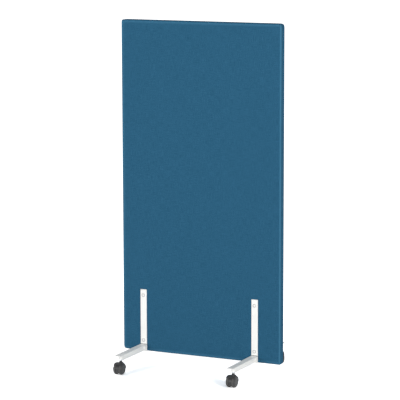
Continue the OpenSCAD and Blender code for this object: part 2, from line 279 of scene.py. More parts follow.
def cell_foam(name, pale, deep):
    material, tree, shader = finish(name, Roughness=0.95)
    where = object_place(tree)
    cells = tree.add(
        "ShaderNodeTexVoronoi",
        {"Vector": where, "Scale": 900.0},
        feature="DISTANCE_TO_EDGE",
    ).outputs["Distance"]
    # The hollow of each cell is painted darker than its walls: painted shade in the pores.
    wall = tree.ramp(cells, 0.02, 0.22)
    tone = tree.mix(wall, pale, deep)
    aged = tree.mix(tree.ramp(tree.noise(where, 6.0), 0.4, 0.75, 0, 0.35), tone, deep)
    dress(tree, shader, aged, tree.bump(wall, 0.7, -0.4 * MM))
    return material


def pressed_felt(name, base, fibre):
    material, tree, shader = finish(name, Roughness=0.97, Sheen_Weight=0.2)
    where = object_place(tree)
    long_way = tree.noise(tree.stretched(where, (1200, 1200, 90)), 1.0, 4.0, 0.7, 1.5)
    cross_way = tree.noise(tree.stretched(where, (90, 1200, 1200)), 1.0, 4.0, 0.7, 1.5)
    hairs = tree.math("MAXIMUM", long_way, cross_way)
    tone = tree.mix(tree.ramp(hairs, 0.5, 0.75), base, fibre)
    dress(tree, shader, tone, tree.bump(hairs, 0.6, 0.5 * MM))
    return material


def sawn_pine(name, early, late, stretch):
    """Planed softwood: rings drawn out along the grain, fine pores and a few pitch flecks."""
    material, tree, shader = finish(name, Roughness=0.62)
    where = object_place(tree)
    grain = tree.stretched(where, stretch)
    rings = tree.add(
        "ShaderNodeTexWave",
        {"Vector": grain, "Scale": 22.0, "Distortion": 9.0, "Detail": 3.0},
        wave_type="RINGS",
    ).outputs["Fac"]
    pores = tree.noise(tree.stretched(grain, (9, 9, 1)), 90.0, 3.0, 0.6)
    tone = tree.mix(tree.ramp(rings, 0.35, 0.95), early, late)
    tone = tree.mix(tree.ramp(pores, 0.55, 0.75, 0.0, 0.45), tone, late)
    roughness = tree.ramp(rings, 0.0, 1.0, 0.68, 0.5)
    dress(tree, shader, tone, tree.bump(pores, 0.25, 0.15 * MM), roughness)
    return material


def powder_coat(name, colour, thin, rough, painted_groove_shade=None):
    """Baked powder: a fine orange peel, and a slightly thinner, greyer film in patches.

    With a painted_groove_shade colour, a colour of painted shade, it is greyest where a piece's
    'painted_groove_shade' attribute is 1.
    """
    material, tree, shader = finish(name, Specular_IOR_Level=0.35)
    where = object_place(tree)
    peel = tree.noise(where, 620.0, 2.0, 0.45)
    film = tree.noise(where, 14.0, 4.0, 0.6)
    tone = tree.mix(tree.ramp(film, 0.42, 0.78, 0.0, 0.6), colour, thin)
    # Painted shade in a groove.
    if painted_groove_shade is not None:
        tone = tree.mix(tree.attribute("painted_groove_shade"), tone, painted_groove_shade)
    patches = tree.noise(where, 60.0)
    roughness = tree.ramp(patches, 0.3, 0.7, rough - 0.04, rough + 0.05)
    dress(tree, shader, tone, tree.bump(peel, 0.10, 0.25 * MM), roughness)
    return material


def plated_steel(name, bright, dull, rough):
    """Zinc plating: cloudy patches and fine drawing lines."""
    material, tree, shader = finish(name, Metallic=1.0)
    where = object_place(tree)
    cloud = tree.noise(where, 160.0, 4.0, 0.6)
    lines = tree.noise(tree.stretched(where, (260, 260, 5200)), 1.0, 2.0)
    tone = tree.mix(tree.ramp(cloud, 0.35, 0.7), bright, dull)
    roughness = tree.ramp(cloud, 0.3, 0.75, rough, rough + 0.16)
    dress(tree, shader, tone, tree.bump(lines, 0.15, 0.05 * MM), roughness)
    return material


def moulded_plastic(name, colour, worn, rough, grain_scale, dust=None):
    """Moulded plastic with a spark-eroded grain.

    With a dust colour, it is scuffed where a piece's 'tread' attribute is 1.
    """
    material, tree, shader = finish(name, Specular_IOR_Level=0.38)
    where = object_place(tree)
    grain = tree.noise(where, grain_scale, 3.0, 0.6)
    flow = tree.noise(where, 34.0, 3.0, 0.5)
    tone = tree.mix(tree.ramp(flow, 0.35, 0.75, 0.0, 0.5), colour, worn)
    roughness = tree.ramp(grain, 0.3, 0.7, rough - 0.06, rough + 0.07)
    if dust is not None:
        scuff = tree.ramp(tree.noise(where, 420.0, 4.0, 0.7), 0.38, 0.62, 0.35, 1.0)
        share = tree.math("MULTIPLY", tree.attribute("tread"), scuff)
        tone = tree.mix(share, tone, dust)
        roughness = tree.math("ADD", roughness, tree.math("MULTIPLY", share, 0.2))
    dress(tree, shader, tone, tree.bump(grain, 0.18, 0.12 * MM), roughness)
    return material


CLOTH = woven_cloth(
    "woven_blue_cloth",
    dark=linear(31, 80, 108),
    light=linear(49, 102, 133),
    fleck=linear(76, 129, 158),
    # The colour of the painted highlight along the panel's edges.
    painted_highlight=linear(64, 119, 149),
    pitch=1.3 * MM,
)
THREAD = sewing_thread("cover_thread", linear(34, 78, 104), linear(66, 116, 144))
FOAM = cell_foam("cut_foam", linear(233, 222, 196), linear(205, 190, 158))
FELT = pressed_felt("absorber_felt", linear(108, 112, 106), linear(158, 162, 152))
PINE_UP = sawn_pine(
    "pine_upright", linear(224, 192, 142), linear(176, 132, 82), (1, 1, 0.05)
)
PINE_ACROSS = sawn_pine(
    "pine_across", linear(222, 190, 141), linear(174, 130, 80), (0.05, 1, 1)
)
WHITE_COAT = powder_coat(
    "white_powder_coat", linear(242, 242, 239), linear(232, 232, 230), 0.42
)
# A grey for the weld across the top of each foot: painted shade along the joint of foot and
# upright.
JOINT_SHADE_COAT = powder_coat("painted_joint_shade", linear(150, 151, 150), linear(132, 133, 132), 0.5)
BOLT_COAT = powder_coat(
    "white_bolt_coat",
    linear(240, 240, 238),
    linear(228, 229, 229),
    0.36,
    # Painted shade in the grooves round the bolt heads.
    painted_groove_shade=linear(182, 183, 182),
)
ZINC = plated_steel("zinc_plate", linear(206, 209, 212), linear(172, 176, 180), 0.24)
HOOD_PLASTIC = moulded_plastic(
    "hood_plastic", linear(43, 44, 45), linear(50, 50, 51), 0.46, 1500.0
)
WHEEL_PLASTIC = moulded_plastic(
    "wheel_plastic",
    linear(46, 46, 47),
    linear(54, 54, 55),
    0.44,
    1100.0,
    dust=linear(82, 81, 79),
)

# ---- Building pieces ----


def link(name, mesh):
    piece = bpy.data.objects.new(name, mesh)
    bpy.context.scene.collection.objects.link(piece)
    return piece


def settle(piece):
    """Turns a piece and its modifiers into a plain mesh, and takes the modifiers off."""
    bpy.context.view_layer.update()
    graph = bpy.context.evaluated_depsgraph_get()
    made = bpy.data.meshes.new_from_object(
        piece.evaluated_get(graph), preserve_all_data_layers=True, depsgraph=graph
    )
    piece.modifiers.clear()
    piece.data = made
    return piece


def merge_doubles(shape, gap=0.002 * MM):
    bmesh.ops.remove_doubles(shape, verts=shape.verts, dist=gap)


def face_outwards(shape):
    bmesh.ops.recalc_face_normals(shape, faces=shape.faces)


def join_flats(shape, within=math.radians(0.6)):
    bmesh.ops.dissolve_limit(
        shape, angle_limit=within, verts=shape.verts, edges=shape.edges
    )


def rework(mesh, *steps):
    """Runs steps such as the ones above on a mesh."""
    shape = bmesh.new()
    shape.from_mesh(mesh)
    for step in steps:
        step(shape)
    shape.to_mesh(mesh)
    shape.free()


def smooth(mesh, degrees=40):
    mesh.shade_smooth()
    mesh.set_sharp_from_angle(angle=math.radians(degrees))


def plain_mesh(name, shape, sharp_from=35):
    """Ends a bmesh: a mesh with smooth faces and sharp arrises."""
    mesh = bpy.data.meshes.new(name)
    shape.to_mesh(mesh)
    shape.free()
    smooth(mesh, sharp_from)
    return mesh


def level(piece):
    """Weights the normals by area, so that broad flat faces shade flat beside eased arrises."""
    weigh = piece.modifiers.new("level", "WEIGHTED_NORMAL")
    weigh.mode = "FACE_AREA"
    weigh.weight = 50
    weigh.keep_sharp = True
    settle(piece)


def hand_over(piece, body, material, replaced=()):
    """The calls that every finished piece gets."""
    if material is not None:
        piece.data.materials.clear()
        piece.data.materials.append(material)
    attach(piece, body)
    if replaced:
        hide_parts(*replaced)
    return piece


def eased(node, name, radius, body, material, segments=2, angle=32):
    """A node's own shape with its arrises eased, as rolled, cut or moulded edges are."""
    mesh = NODES[node].data.copy()
    rework(mesh, merge_doubles, join_flats)
    piece = link(name, mesh)
    ease = piece.modifiers.new("ease", "BEVEL")
    ease.width = radius
    ease.segments = segments
    ease.limit_method = "ANGLE"
    ease.angle_limit = math.radians(angle)
    ease.use_clamp_overlap = False
    ease.miter_outer = "MITER_ARC"
    settle(piece)
    smooth(piece.data)
    level(piece)
    return hand_over(piece, body, material, [node])


def arc(centre, radius, start, end, steps):
    """Points on an arc of a profile, from start to end in degrees. A point is (along, out)."""
    turns = [math.radians(start + (end - start) * k / steps) for k in range(steps + 1)]
    return [
        (centre[0] + radius * math.sin(t), centre[1] + radius * math.cos(t))
        for t in turns
    ]


def turned(profile, segments=96):
    """A closed profile of (along, out) spun about the X axis, as a bmesh."""
    shape = bmesh.new()
    rings = []
    for k in range(segments):
        t = 2 * math.pi * k / segments
        c, s = math.cos(t), math.sin(t)
        rings.append([shape.verts.new((x, r * c, r * s)) for x, r in profile])
    count = len(profile)
    for k in range(segments):
        one, two = rings[k], rings[(k + 1) % segments]
        for i in range(count):
            j = (i + 1) % count
            shape.faces.new((one[i], one[j], two[j], two[i]))
    merge_doubles(shape, 0.001 * MM)
    face_outwards(shape)
    return shape


# ---- Geometry node trees ----


def grower(name, **sockets):
    """An empty geometry tree with a geometry in and out, and named inputs for its sizes."""
    group = bpy.data.node_groups.new(name, "GeometryNodeTree")
    face = group.interface
    face.new_socket("Geometry", in_out="OUTPUT", socket_type="NodeSocketGeometry")
    face.new_socket("Geometry", in_out="INPUT", socket_type="NodeSocketGeometry")
    for label, kind in sockets.items():
        face.new_socket(label, in_out="INPUT", socket_type="NodeSocket" + kind)
    tree = Tree(group)
    given = tree.add("NodeGroupInput").outputs
    return group, tree, given


def harvest(tree, geometry, material):
    """Ends a geometry tree: real geometry, smooth, in its finish."""
    real = tree.out("GeometryNodeRealizeInstances", {0: geometry})
    soft = tree.out("GeometryNodeSetShadeSmooth", {0: real})
    done = tree.add("GeometryNodeSetMaterial", {0: soft, "Material": material})
    tree.add("NodeGroupOutput", {0: done.outputs[0]})


def grow(name, mesh, group, values):
    """Runs a geometry tree on a mesh and keeps what it makes as a plain mesh."""
    piece = link(name, mesh)
    modifier = piece.modifiers.new("grow", "NODES")
    modifier.node_group = group
    for item in group.interface.items_tree:
        if item.in_out == "INPUT" and item.name in values:
            modifier[item.identifier] = values[item.name]
    return settle(piece)


def path_mesh(name, runs):
    """Loose edges along each run of points. A run whose first point comes again is closed."""
    points, edges = [], []
    for run in runs:
        closed = (Vector(run[0]) - Vector(run[-1])).length < 1e-7
        run = run[:-1] if closed else run
        first = len(points)
        points.extend(run)
        edges.extend((first + k, first + k + 1) for k in range(len(run) - 1))
        if closed:
            edges.append((first + len(run) - 1, first))
    mesh = bpy.data.meshes.new(name)
    mesh.from_pydata([tuple(p) for p in points], edges, [])
    return mesh


def balls_on_line(tree, given, segments, rings):
    """Places at each pitch along the lines handed in, and a unit ball to put there."""
    line = tree.out("GeometryNodeMeshToCurve", {0: given["Geometry"]})
    spots = tree.out(
        "GeometryNodeResampleCurve",
        {"Curve": line, "Length": given["Pitch"]},
        mode="LENGTH",
    )
    ball = tree.out(
        "GeometryNodeMeshUVSphere",
        {"Segments": segments, "Rings": rings, "Radius": 1.0},
    )
    return spots, ball


def stitch_grower():
    """Short threads across a seam, one at each pitch along its line."""
    group, tree, given = grower(
        "seam_stitches",
        Pitch="Float",
        Thread="Float",
        Span="Float",
        Seed="Int",
        Finish="Material",
    )
    spots, ball = balls_on_line(tree, given, 7, 5)
    half_thread = tree.math("MULTIPLY", given["Thread"], 0.5)
    half_span = tree.math("MULTIPLY", given["Span"], 0.5)
    size = tree.out("ShaderNodeCombineXYZ", {0: half_thread, 1: half_span, 2: half_thread})
    jitter = tree.out(
        "FunctionNodeRandomValue",
        {"Min": (-0.1, -0.1, -0.12), "Max": (0.1, 0.1, 0.12), "Seed": given["Seed"]},
        data_type="FLOAT_VECTOR",
    )
    rows = tree.out(
        "GeometryNodeInstanceOnPoints",
        {"Points": spots, "Instance": ball, "Scale": size, "Rotation": jitter},
    )
    harvest(tree, rows, given["Finish"])
    return group


def bead_grower():
    """Overlapping ripples of a weld, one at each pitch along the joint."""
    group, tree, given = grower(
        "weld_ripples",
        Pitch="Float",
        Radius="Float",
        Length="Float",
        Unevenness="Float",
        Seed="Int",
        Finish="Material",
    )
    spots, ball = balls_on_line(tree, given, 14, 8)
    size = tree.out(
        "ShaderNodeCombineXYZ",
        {0: given["Radius"], 1: given["Radius"], 2: given["Length"]},
    )
    low = tree.math("SUBTRACT", 1.0, given["Unevenness"])
    high = tree.math("ADD", 1.0, given["Unevenness"])
    vary = tree.add(
        "FunctionNodeRandomValue",
        {2: low, 3: high, "Seed": given["Seed"]},
        data_type="FLOAT",
    ).outputs[1]
    scaled = tree.out("ShaderNodeVectorMath", {0: size, "Scale": vary}, operation="SCALE")
    heading = tree.out("GeometryNodeInputTangent")
    turn = tree.out("FunctionNodeAlignRotationToVector", {"Vector": heading}, axis="Z")
    rows = tree.out(
        "GeometryNodeInstanceOnPoints",
        {"Points": spots, "Instance": ball, "Scale": scaled, "Rotation": turn},
    )
    harvest(tree, rows, given["Finish"])
    return group


def rib_grower():
    """Flat ribs standing round the X axis, evenly spaced."""
    group, tree, given = grower(
        "wheel_ribs",
        Count="Int",
        Size="Vector",
        Out="Float",
        Along="Float",
        Finish="Material",
    )
    spots = tree.out("GeometryNodeMeshLine", {"Count": given["Count"], "Offset": (0, 0, 0)})
    blade = tree.out("GeometryNodeMeshCube", {"Size": given["Size"]})
    shift = tree.out("ShaderNodeCombineXYZ", {0: given["Along"], 1: 0.0, 2: given["Out"]})
    placed = tree.out("GeometryNodeTransform", {"Geometry": blade, "Translation": shift})
    step = tree.math("DIVIDE", 2 * math.pi, given["Count"])
    turn = tree.math("MULTIPLY", tree.out("GeometryNodeInputIndex"), step)
    spin = tree.out("ShaderNodeCombineXYZ", {0: turn, 1: 0.0, 2: 0.0})
    ribs = tree.out(
        "GeometryNodeInstanceOnPoints",
        {"Points": spots, "Instance": placed, "Rotation": spin},
    )
    harvest(tree, ribs, given["Finish"])
    return group


STITCHES = stitch_grower()
BEADS = bead_grower()
RIBS = rib_grower()

# ---- The padded panel ----

CLOTH_T = 1.0 * MM
FOAM_T = 5.0 * MM
FOAM_PLAY = 0.05 * MM
CROWN = 1.6 * MM
CROWN_REACH = 42 * MM
CROWN_FADE = 25 * MM
PRESS_REACH = 10 * MM
PRESS_GAP = 0.1 * MM
SEAM_DEPTH = 1.0 * MM
SEAM_HALF = 1.1 * MM
PUCKER = 0.12 * MM
PUCKER_PITCH = 9 * MM
PUCKER_HALF = 4 * MM
STITCH_PITCH = 4 * MM
STITCH_SPAN = 2.6 * MM
STITCH_THREAD = 0.5 * MM
STITCH_LIFT = 0.7 * MM
ABSORBER_R = 3 * MM

# The two waves of the cloth between its bars: height, closeness and shift of the noise.
UNEVENNESS = ((0.12 * MM, 7, 3.7), (0.05 * MM, 21, 8.1))

COVER_GRID = 9 * MM
HIDDEN_GRID = 30 * MM
BAR_GRID = 3 * MM
BAR_MARGIN = 12 * MM
BAR_TOP_ZONE = (-6 * MM, 14 * MM)
LEAST_R = 0.6 * MM

# Rows of points round the edge, in degrees, and over the narrow sides, in mm from the seam.
EDGE_ANGLES = [0, 13, 26, 39, 52, 65, 78]
SEAM_ROWS = [12.0, 9.0, 6.5, 4.6, 3.2, 2.2, 1.4, 0.8, 0.35, 0.0]

# How much painted highlight the level edges take, from which angle round them, and the left one.
LEVEL_FROM = math.radians(58)
LEVEL_HIGHLIGHT = 0.7
LEFT_HIGHLIGHT = 0.7

FLAT = math.pi / 2


def graded(low, high, coarse, zones):
    """Grid lines from low to high: a coarse step, and a finer one inside each zone."""
    ends = [min(max(v, low), high) for zone in zones for v in zone[:2]]
    stops = sorted({low, high, *ends})
    lines = []
    for a, b in zip(stops, stops[1:]):
        steps = [fine for za, zb, fine in zones if za < (a + b) / 2 < zb]
        count = max(1, round((b - a) / (steps[0] if steps else coarse)))
        lines.extend(a + (b - a) * k / count for k in range(count))
    return [*lines, high]


def smoothstep(t):
    t = min(max(t, 0.0), 1.0)
    return t * t * (3 - 2 * t)


def bars_of(side):
    """The upright bars on one face, as (lowest x, highest x, top)."""
    boxes = [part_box(c + "_upright") for c in CORNERS if is_rear(c) == (side > 0)]
    return [(low.x, high.x, high.z) for low, high in boxes]


BARS = {side: bars_of(side) for side in (-1, 1)}


def held_down(x, z, side):
    """1 under an upright bar, which presses the cloth in, falling to 0 away from it."""
    most = 0.0
    for low, high, top in BARS[side]:
        away = math.hypot(max(low - x, 0, x - high), max(0, z - top))
        most = max(most, 1 - smoothstep(away / PRESS_REACH))
    return most


def fullness(x, z, side, inside):
    """How far the cloth stands out, at a distance inside the rounded edge."""
    fade = smoothstep(inside / CROWN_FADE)
    swell = CROWN * (1 - math.exp(-inside / CROWN_REACH))
    for height, closeness, shift in UNEVENNESS:
        where = Vector((x * closeness, shift * side, z * closeness))
        swell += fade * height * noise.noise(where)
    hold = held_down(x, z, side)
    return swell * (1 - hold) - PRESS_GAP * hold


def skin_lines(half, depth, radius, grid, zones):
    """Grid lines across the panel: place, angle round the edge, and place when laid flat."""
    flat, whole = half - depth - radius, half - EDGE_R
    spread = [p * flat / whole for p in graded(-whole, whole, grid, zones)]
    low = []
    for degrees in EDGE_ANGLES:
        a = math.radians(degrees)
        low.append((-(flat + radius * math.cos(a)), a, -(flat + EDGE_R * (FLAT - a))))
    high = [(-place, a, -laid) for place, a, laid in reversed(low)]
    return low + [(p, FLAT, p) for p in spread] + high


def highlight_share(ax, az, on_left_line, on_level_line):
    """Share of painted highlight: over the upright edges, and just inside the others."""
    if ax <= az and ax < FLAT:
        return smoothstep(1.5 * math.sin(2 * ax))
    if az < FLAT:
        return LEVEL_HIGHLIGHT * smoothstep((az - LEVEL_FROM) / (FLAT - LEVEL_FROM))
    if on_level_line:
        return LEVEL_HIGHLIGHT
    return LEFT_HIGHLIGHT if on_left_line else 0.0


def rounded_off(x, z, depth):
    """Where a point of the square grid lies once its corner of the panel is rounded."""
    rounding = CORNER_R[(1 if x > 0 else -1, 1 if z > 0 else -1)]
    rounding += (INNER_CORNER_R - rounding) * (depth / (CLOTH_T + FOAM_T))
    mid_x, mid_z = PANEL_HALF_W - rounding, PANEL_HALF_H - rounding
    dx, dz = abs(x) - mid_x, abs(z) - mid_z
    if dx <= 0 or dz <= 0:
        return x, z
    pull = max(dx, dz) / math.hypot(dx, dz)
    return math.copysign(mid_x + dx * pull, x), math.copysign(mid_z + dz * pull, z)


def border(nx, nz):
    """The outermost points of a grid, once round."""
    rim = [i * nz for i in range(nx)]
    rim += [(nx - 1) * nz + j for j in range(1, nz)]
    rim += [i * nz + nz - 1 for i in range(nx - 2, -1, -1)]
    return rim + list(range(nz - 2, 0, -1))


def rows_to_seam(base, flat, side, straight, grooved):
    """Rows of points from the rounded edge to the seam, each with its map when laid flat."""
    ahead = np.roll(base, -1, 0) - np.roll(base, 1, 0)
    outward = np.stack([ahead[:, 2], -ahead[:, 0]], 1)
    outward /= np.linalg.norm(outward, axis=1)[:, None]
    steps = np.linalg.norm(np.roll(base, -1, 0) - base, axis=1)
    run = np.concatenate([[0], np.cumsum(steps)[:-1]])
    waves = round(steps.sum() / PUCKER_PITCH)
    ripple = np.sin(2 * math.pi * waves * run / steps.sum())
    for row in (r * MM for r in SEAM_ROWS):
        inward = np.zeros(len(base))
        if grooved:
            inward += SEAM_DEPTH * math.exp(-((row / SEAM_HALF) ** 2))
            inward += PUCKER * (1 + ripple) * math.exp(-((row / PUCKER_HALF) ** 2))
        points, laid = [], []
        for (x, _, z), (lx, lz), (ox, oz), inset in zip(base, flat, outward, inward):
            points.append((x - ox * inset, side * row, z - oz * inset))
            wrap = straight - row
            laid.append((lx + ox * wrap, lz + oz * wrap))
        yield points, laid


def half_skin(side, depth, grid, swelling=True, grooved=True):
    """Half of the panel's padded surface, set in by depth, with its rim on the seam.

    Returns points, faces, the laid map, the rim and each point's share of painted highlight, for
    the face, its rounded edges and its share of the narrow sides.
    """
    radius = max(EDGE_R - depth, LEAST_R)
    flat_w = PANEL_HALF_W - depth - radius
    flat_h = PANEL_HALF_H - depth - radius
    straight = PANEL_HALF_T - depth - radius
    bars = [b for one in BARS.values() for b in one]
    zones_x = [(b[0] - BAR_MARGIN, b[1] + BAR_MARGIN, BAR_GRID) for b in bars]
    tops = [b[2] - PANEL_MID_Z for b in bars]
    zones_z = [(t + BAR_TOP_ZONE[0], t + BAR_TOP_ZONE[1], BAR_GRID) for t in tops]
    xs = skin_lines(PANEL_HALF_W, depth, radius, grid, zones_x)
    zs = skin_lines(PANEL_HALF_H, depth, radius, grid, zones_z)
    nx, nz = len(xs), len(zs)

    points, laid, painted_highlight = [], [], []
    for x, ax, lx in xs:
        for z, az, lz in zs:
            angle = min(ax, az)
            px, pz = rounded_off(x, z, depth)
            out = straight + radius * math.sin(angle)
            if swelling and angle == FLAT:
                inside = min(flat_w - abs(x), flat_h - abs(z))
                out += fullness(px, pz + PANEL_MID_Z, side, inside)
            points.append((px, side * out, pz + PANEL_MID_Z))
            laid.append((lx, lz))
            painted_highlight.append(highlight_share(ax, az, x <= -flat_w, abs(z) >= flat_h))

    def face(*corners):
        return corners if side < 0 else corners[::-1]

    faces = []
    for i in range(nx - 1):
        for j in range(nz - 1):
            k = i * nz + j
            faces.append(face(k, k + nz, k + nz + 1, k + 1))

    rim = border(nx, nz)
    count = len(rim)
    base = np.array([points[k] for k in rim])
    flat = np.array([laid[k] for k in rim])
    for row_points, row_laid in rows_to_seam(base, flat, side, straight, grooved):
        ring = list(range(len(points), len(points) + count))
        points += row_points
        laid += row_laid
        painted_highlight += [0.0] * count
        for k in range(count):
            m = (k + 1) % count
            faces.append(face(rim[k], ring[k], ring[m], rim[m]))
        rim = ring
    return points, faces, laid, rim, painted_highlight


def laid_mesh(name, skins, bridged=False):
    """One closed mesh of several half skins, each with whether it is turned inside out."""
    points, faces, laid, rims, painted_highlight = [], [], [], [], []
    for (own_points, own_faces, own_laid, own_rim, own_highlight), inside_out in skins:
        first = len(points)
        points += own_points
        laid += own_laid
        painted_highlight += own_highlight
        for own in own_faces:
            own = [first + k for k in own]
            faces.append(own[::-1] if inside_out else own)
        rims.append([first + k for k in own_rim])
    if bridged:
        outer, inner = rims
        for k in range(len(outer)):
            m = (k + 1) % len(outer)
            faces.append([outer[k], inner[k], inner[m], outer[m]])
    mesh = bpy.data.meshes.new(name)
    mesh.from_pydata(points, [], faces)
    layer = mesh.uv_layers.new(name="laid")
    corner_points = np.zeros(len(mesh.loops), np.int32)
    mesh.loops.foreach_get("vertex_index", corner_points)
    layer.data.foreach_set("uv", np.array(laid, np.float32)[corner_points].ravel())
    # Each point's share of the painted highlight.
    edge_highlight = mesh.attributes.new("edge_highlight", "FLOAT", "POINT")
    edge_highlight.data.foreach_set("value", painted_highlight)
    rework(mesh, merge_doubles)
    mesh.shade_smooth()
    return mesh


def padded_cover():
    """The woven cover: its outside and, a cloth's thickness in, its inside."""
    skins = [(half_skin(s, 0.0, COVER_GRID), False) for s in (-1, 1)]
    skins += [(half_skin(s, CLOTH_T, HIDDEN_GRID), True) for s in (-1, 1)]
    cover = link("cover", laid_mesh("cover", skins))
    hand_over(cover, "root", CLOTH, ["fabric_cover"])


def foam_pad(side, label):
    """One half of the foam: the cover's own form outside, and flat where it lies on the frame."""
    outer = half_skin(side, CLOTH_T + FOAM_PLAY, HIDDEN_GRID)
    inner = half_skin(side, CLOTH_T + FOAM_T, HIDDEN_GRID, swelling=False, grooved=False)
    mesh = laid_mesh("foam", [(outer, False), (inner, True)], bridged=True)
    rework(mesh, face_outwards)
    pad = link("foam_pad_" + label, mesh)
    hand_over(pad, "root", FOAM, ["foam_" + label])


def seam_stitches():
    """Closing stitches across the seam, all the way round the narrow sides."""
    points, _, _, rim, _ = half_skin(-1, 0.0, HIDDEN_GRID)
    line = [Vector(points[k]) for k in rim]
    count = len(line)
    run = []
    for k, point in enumerate(line):
        ahead = line[(k + 1) % count] - line[k - 1]
        outward = Vector((ahead.z, 0, -ahead.x)).normalized()
        run.append(point + outward * STITCH_LIFT)
    sizes = {
        "Pitch": STITCH_PITCH,
        "Thread": STITCH_THREAD,
        "Span": STITCH_SPAN,
        "Seed": 4,
        "Finish": THREAD,
    }
    seam = path_mesh("seam_line", [[*run, run[0]]])
    hand_over(grow("seam_stitches", seam, STITCHES, sizes), "root", None)


padded_cover()
foam_pad(-1, "front")
foam_pad(1, "rear")
seam_stitches()
batt = eased(
    "absorber_core", "absorber_batt", ABSORBER_R, "root", FELT, segments=3
)

# ---- Brackets ----

FOOT_H = 30 * MM
FLANGE_T = 4 * MM
WEB_HALF = 2 * MM
ROOT_R = 3 * MM
BOSS_R = 10 * MM
BEAD_R = 1.5 * MM
TOP_BEAD_R = 2.4 * MM
BEAD_PITCH = 1.15 * MM
BEAD_LENGTH = 1.0 * MM
BEAD_UNEVENNESS = 0.07
WELD_END = 1 * MM
WELD_SIDE = 0.8 * MM
EASED_BY = {"upright": 0.6 * MM, "foot": 0.5 * MM, "boss": 0.5 * MM}
STEM_EASE = 0.35 * MM

# The weld round the boss, on each side of its web: from and to, in degrees from its rear.
BOSS_WELD = (28, 180)
BOSS_WELD_STEPS = 26


def circle_run(centre, radius, start, end, count):
    """Points on a level circle, from start to end in degrees."""
    turns = [start + (end - start) * k / count for k in range(count + 1)]
    return [
        centre + Vector((math.sin(t), math.cos(t), 0)) * radius
        for t in map(math.radians, turns)
    ]


def bracket_welds(corner, number):
    """Fillet welds of one bracket: foot to upright, boss to flange and boss to web."""
    face = -UPRIGHT_T
    low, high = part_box(corner + "_boss")
    boss_y = -(abs((low.y + high.y) / 2) - PANEL_HALF_T)
    boss_z = low.z - PANEL_LOW.z
    under = FOOT_H - FLANGE_T
    top = under - ROOT_R
    half = BAR_W / 2 - WELD_SIDE
    meet = boss_y + math.sqrt(BOSS_R**2 - WEB_HALF**2)
    runs = []
    for s in (-1, 1):
        web, root = s * WEB_HALF, s * (WEB_HALF + ROOT_R)
        runs.append([Vector((web, face, WELD_END)), Vector((web, face, top))])
        runs.append([Vector((root, face, under)), Vector((s * half, face, under))])
        runs.append([Vector((web, meet, boss_z + WELD_END)), Vector((web, meet, top))])
        middle = Vector((0, boss_y, under))
        start, end = (s * degrees for degrees in BOSS_WELD)
        runs.append(circle_run(middle, BOSS_R, start, end, BOSS_WELD_STEPS))
    # The weld across the flange's top is grey: painted shade in the joint.
    across = [[Vector((-half, face, FOOT_H)), Vector((half, face, FOOT_H))]]
    for name, lines, radius, coat in (
        ("welds_", runs, BEAD_R, WHITE_COAT),
        ("top_weld_", across, TOP_BEAD_R, JOINT_SHADE_COAT),
    ):
        mesh = path_mesh(name + "lines", lines)
        mesh.transform(corner_place(corner))
        sizes = {
            "Pitch": BEAD_PITCH,
            "Radius": radius,
            "Length": BEAD_LENGTH,
            "Unevenness": BEAD_UNEVENNESS,
            "Seed": number,
            "Finish": coat,
        }
        hand_over(grow(name + corner, mesh, BEADS, sizes), "root", None)


for number, corner in enumerate(CORNERS):
    for part, radius in EASED_BY.items():
        node, name = f"{corner}_{part}", f"{part}_{corner}"
        eased(node, name, radius, "root", WHITE_COAT)
    eased(f"{corner}_stem", f"stem_{corner}", STEM_EASE, "root", ZINC)
    bracket_welds(corner, number)

# ---- Connector bolts and sleeve nuts ----

BOLT_R = 3 * MM
BOLT_LENGTH = 32 * MM
BOLT_TIP = 0.8 * MM
BARREL_R = 4.5 * MM
BARREL_LENGTH = 38 * MM
BARREL_BORE = 35 * MM
BARREL_TIP = 0.5 * MM
HEAD_R = 8.5 * MM
HEAD_T = 2.4 * MM
HEAD_ROUND = 0.8 * MM
GROOVE_IN = 5.4 * MM
GROOVE_OUT = 7.4 * MM
GROOVE_FLOOR = 0.4 * MM
GROOVE_ROUNDS = (0.3 * MM, 0.2 * MM)
SOCKET_FLAT = 4 * MM
SOCKET_FLOOR = 0.8 * MM
SOCKET_EASE = 0.1 * MM
LOW_BOLT_UP = 49 * MM
HIGH_BOLT_DOWN = 26 * MM
BOLT_HEIGHTS = (
    PANEL_LOW.z + LOW_BOLT_UP,
    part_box("front_left_upright")[1].z - HIGH_BOLT_DOWN,
)


def head_profile():
    """A round head in a cup rim, from its face to its seat. A point is (along, out)."""
    inner, outer = GROOVE_ROUNDS
    points = arc((HEAD_T - inner, GROOVE_IN - inner), inner, 90, 0, 4)
    points += [(GROOVE_FLOOR, GROOVE_IN), (GROOVE_FLOOR, GROOVE_OUT)]
    points += arc((HEAD_T - outer, GROOVE_OUT + outer), outer, 180, 90, 3)
    points += arc((HEAD_T - HEAD_ROUND, HEAD_R - HEAD_ROUND), HEAD_ROUND, 90, 0, 6)
    return points + [(0, HEAD_R)]


def bolt_profile():
    tip = -BOLT_LENGTH
    return head_profile() + [
        (0, BOLT_R),
        (tip + BOLT_TIP, BOLT_R),
        (tip, BOLT_R - BOLT_TIP),
        (tip, 0),
    ]


def nut_profile():
    tip = -BARREL_LENGTH
    return head_profile() + [
        (0, BARREL_R),
        (tip + BARREL_TIP, BARREL_R),
        (tip, BARREL_R - BARREL_TIP),
        (tip, BOLT_R + BARREL_TIP),
        (tip + BARREL_TIP, BOLT_R),
        (tip + BARREL_BORE, BOLT_R),
        (tip + BARREL_BORE, 0),
    ]


def socket_profile(turn):
    """The hexagon socket from its middle to the head's face, in one direction."""
    sixth = math.pi / 3
    wall = SOCKET_FLAT / 2 / math.cos((turn + sixth / 2) % sixth - sixth / 2)
    return [
        (SOCKET_FLOOR, 0),
        (SOCKET_FLOOR, wall),
        (HEAD_T - SOCKET_EASE, wall),
        (HEAD_T, wall + SOCKET_EASE),
    ]


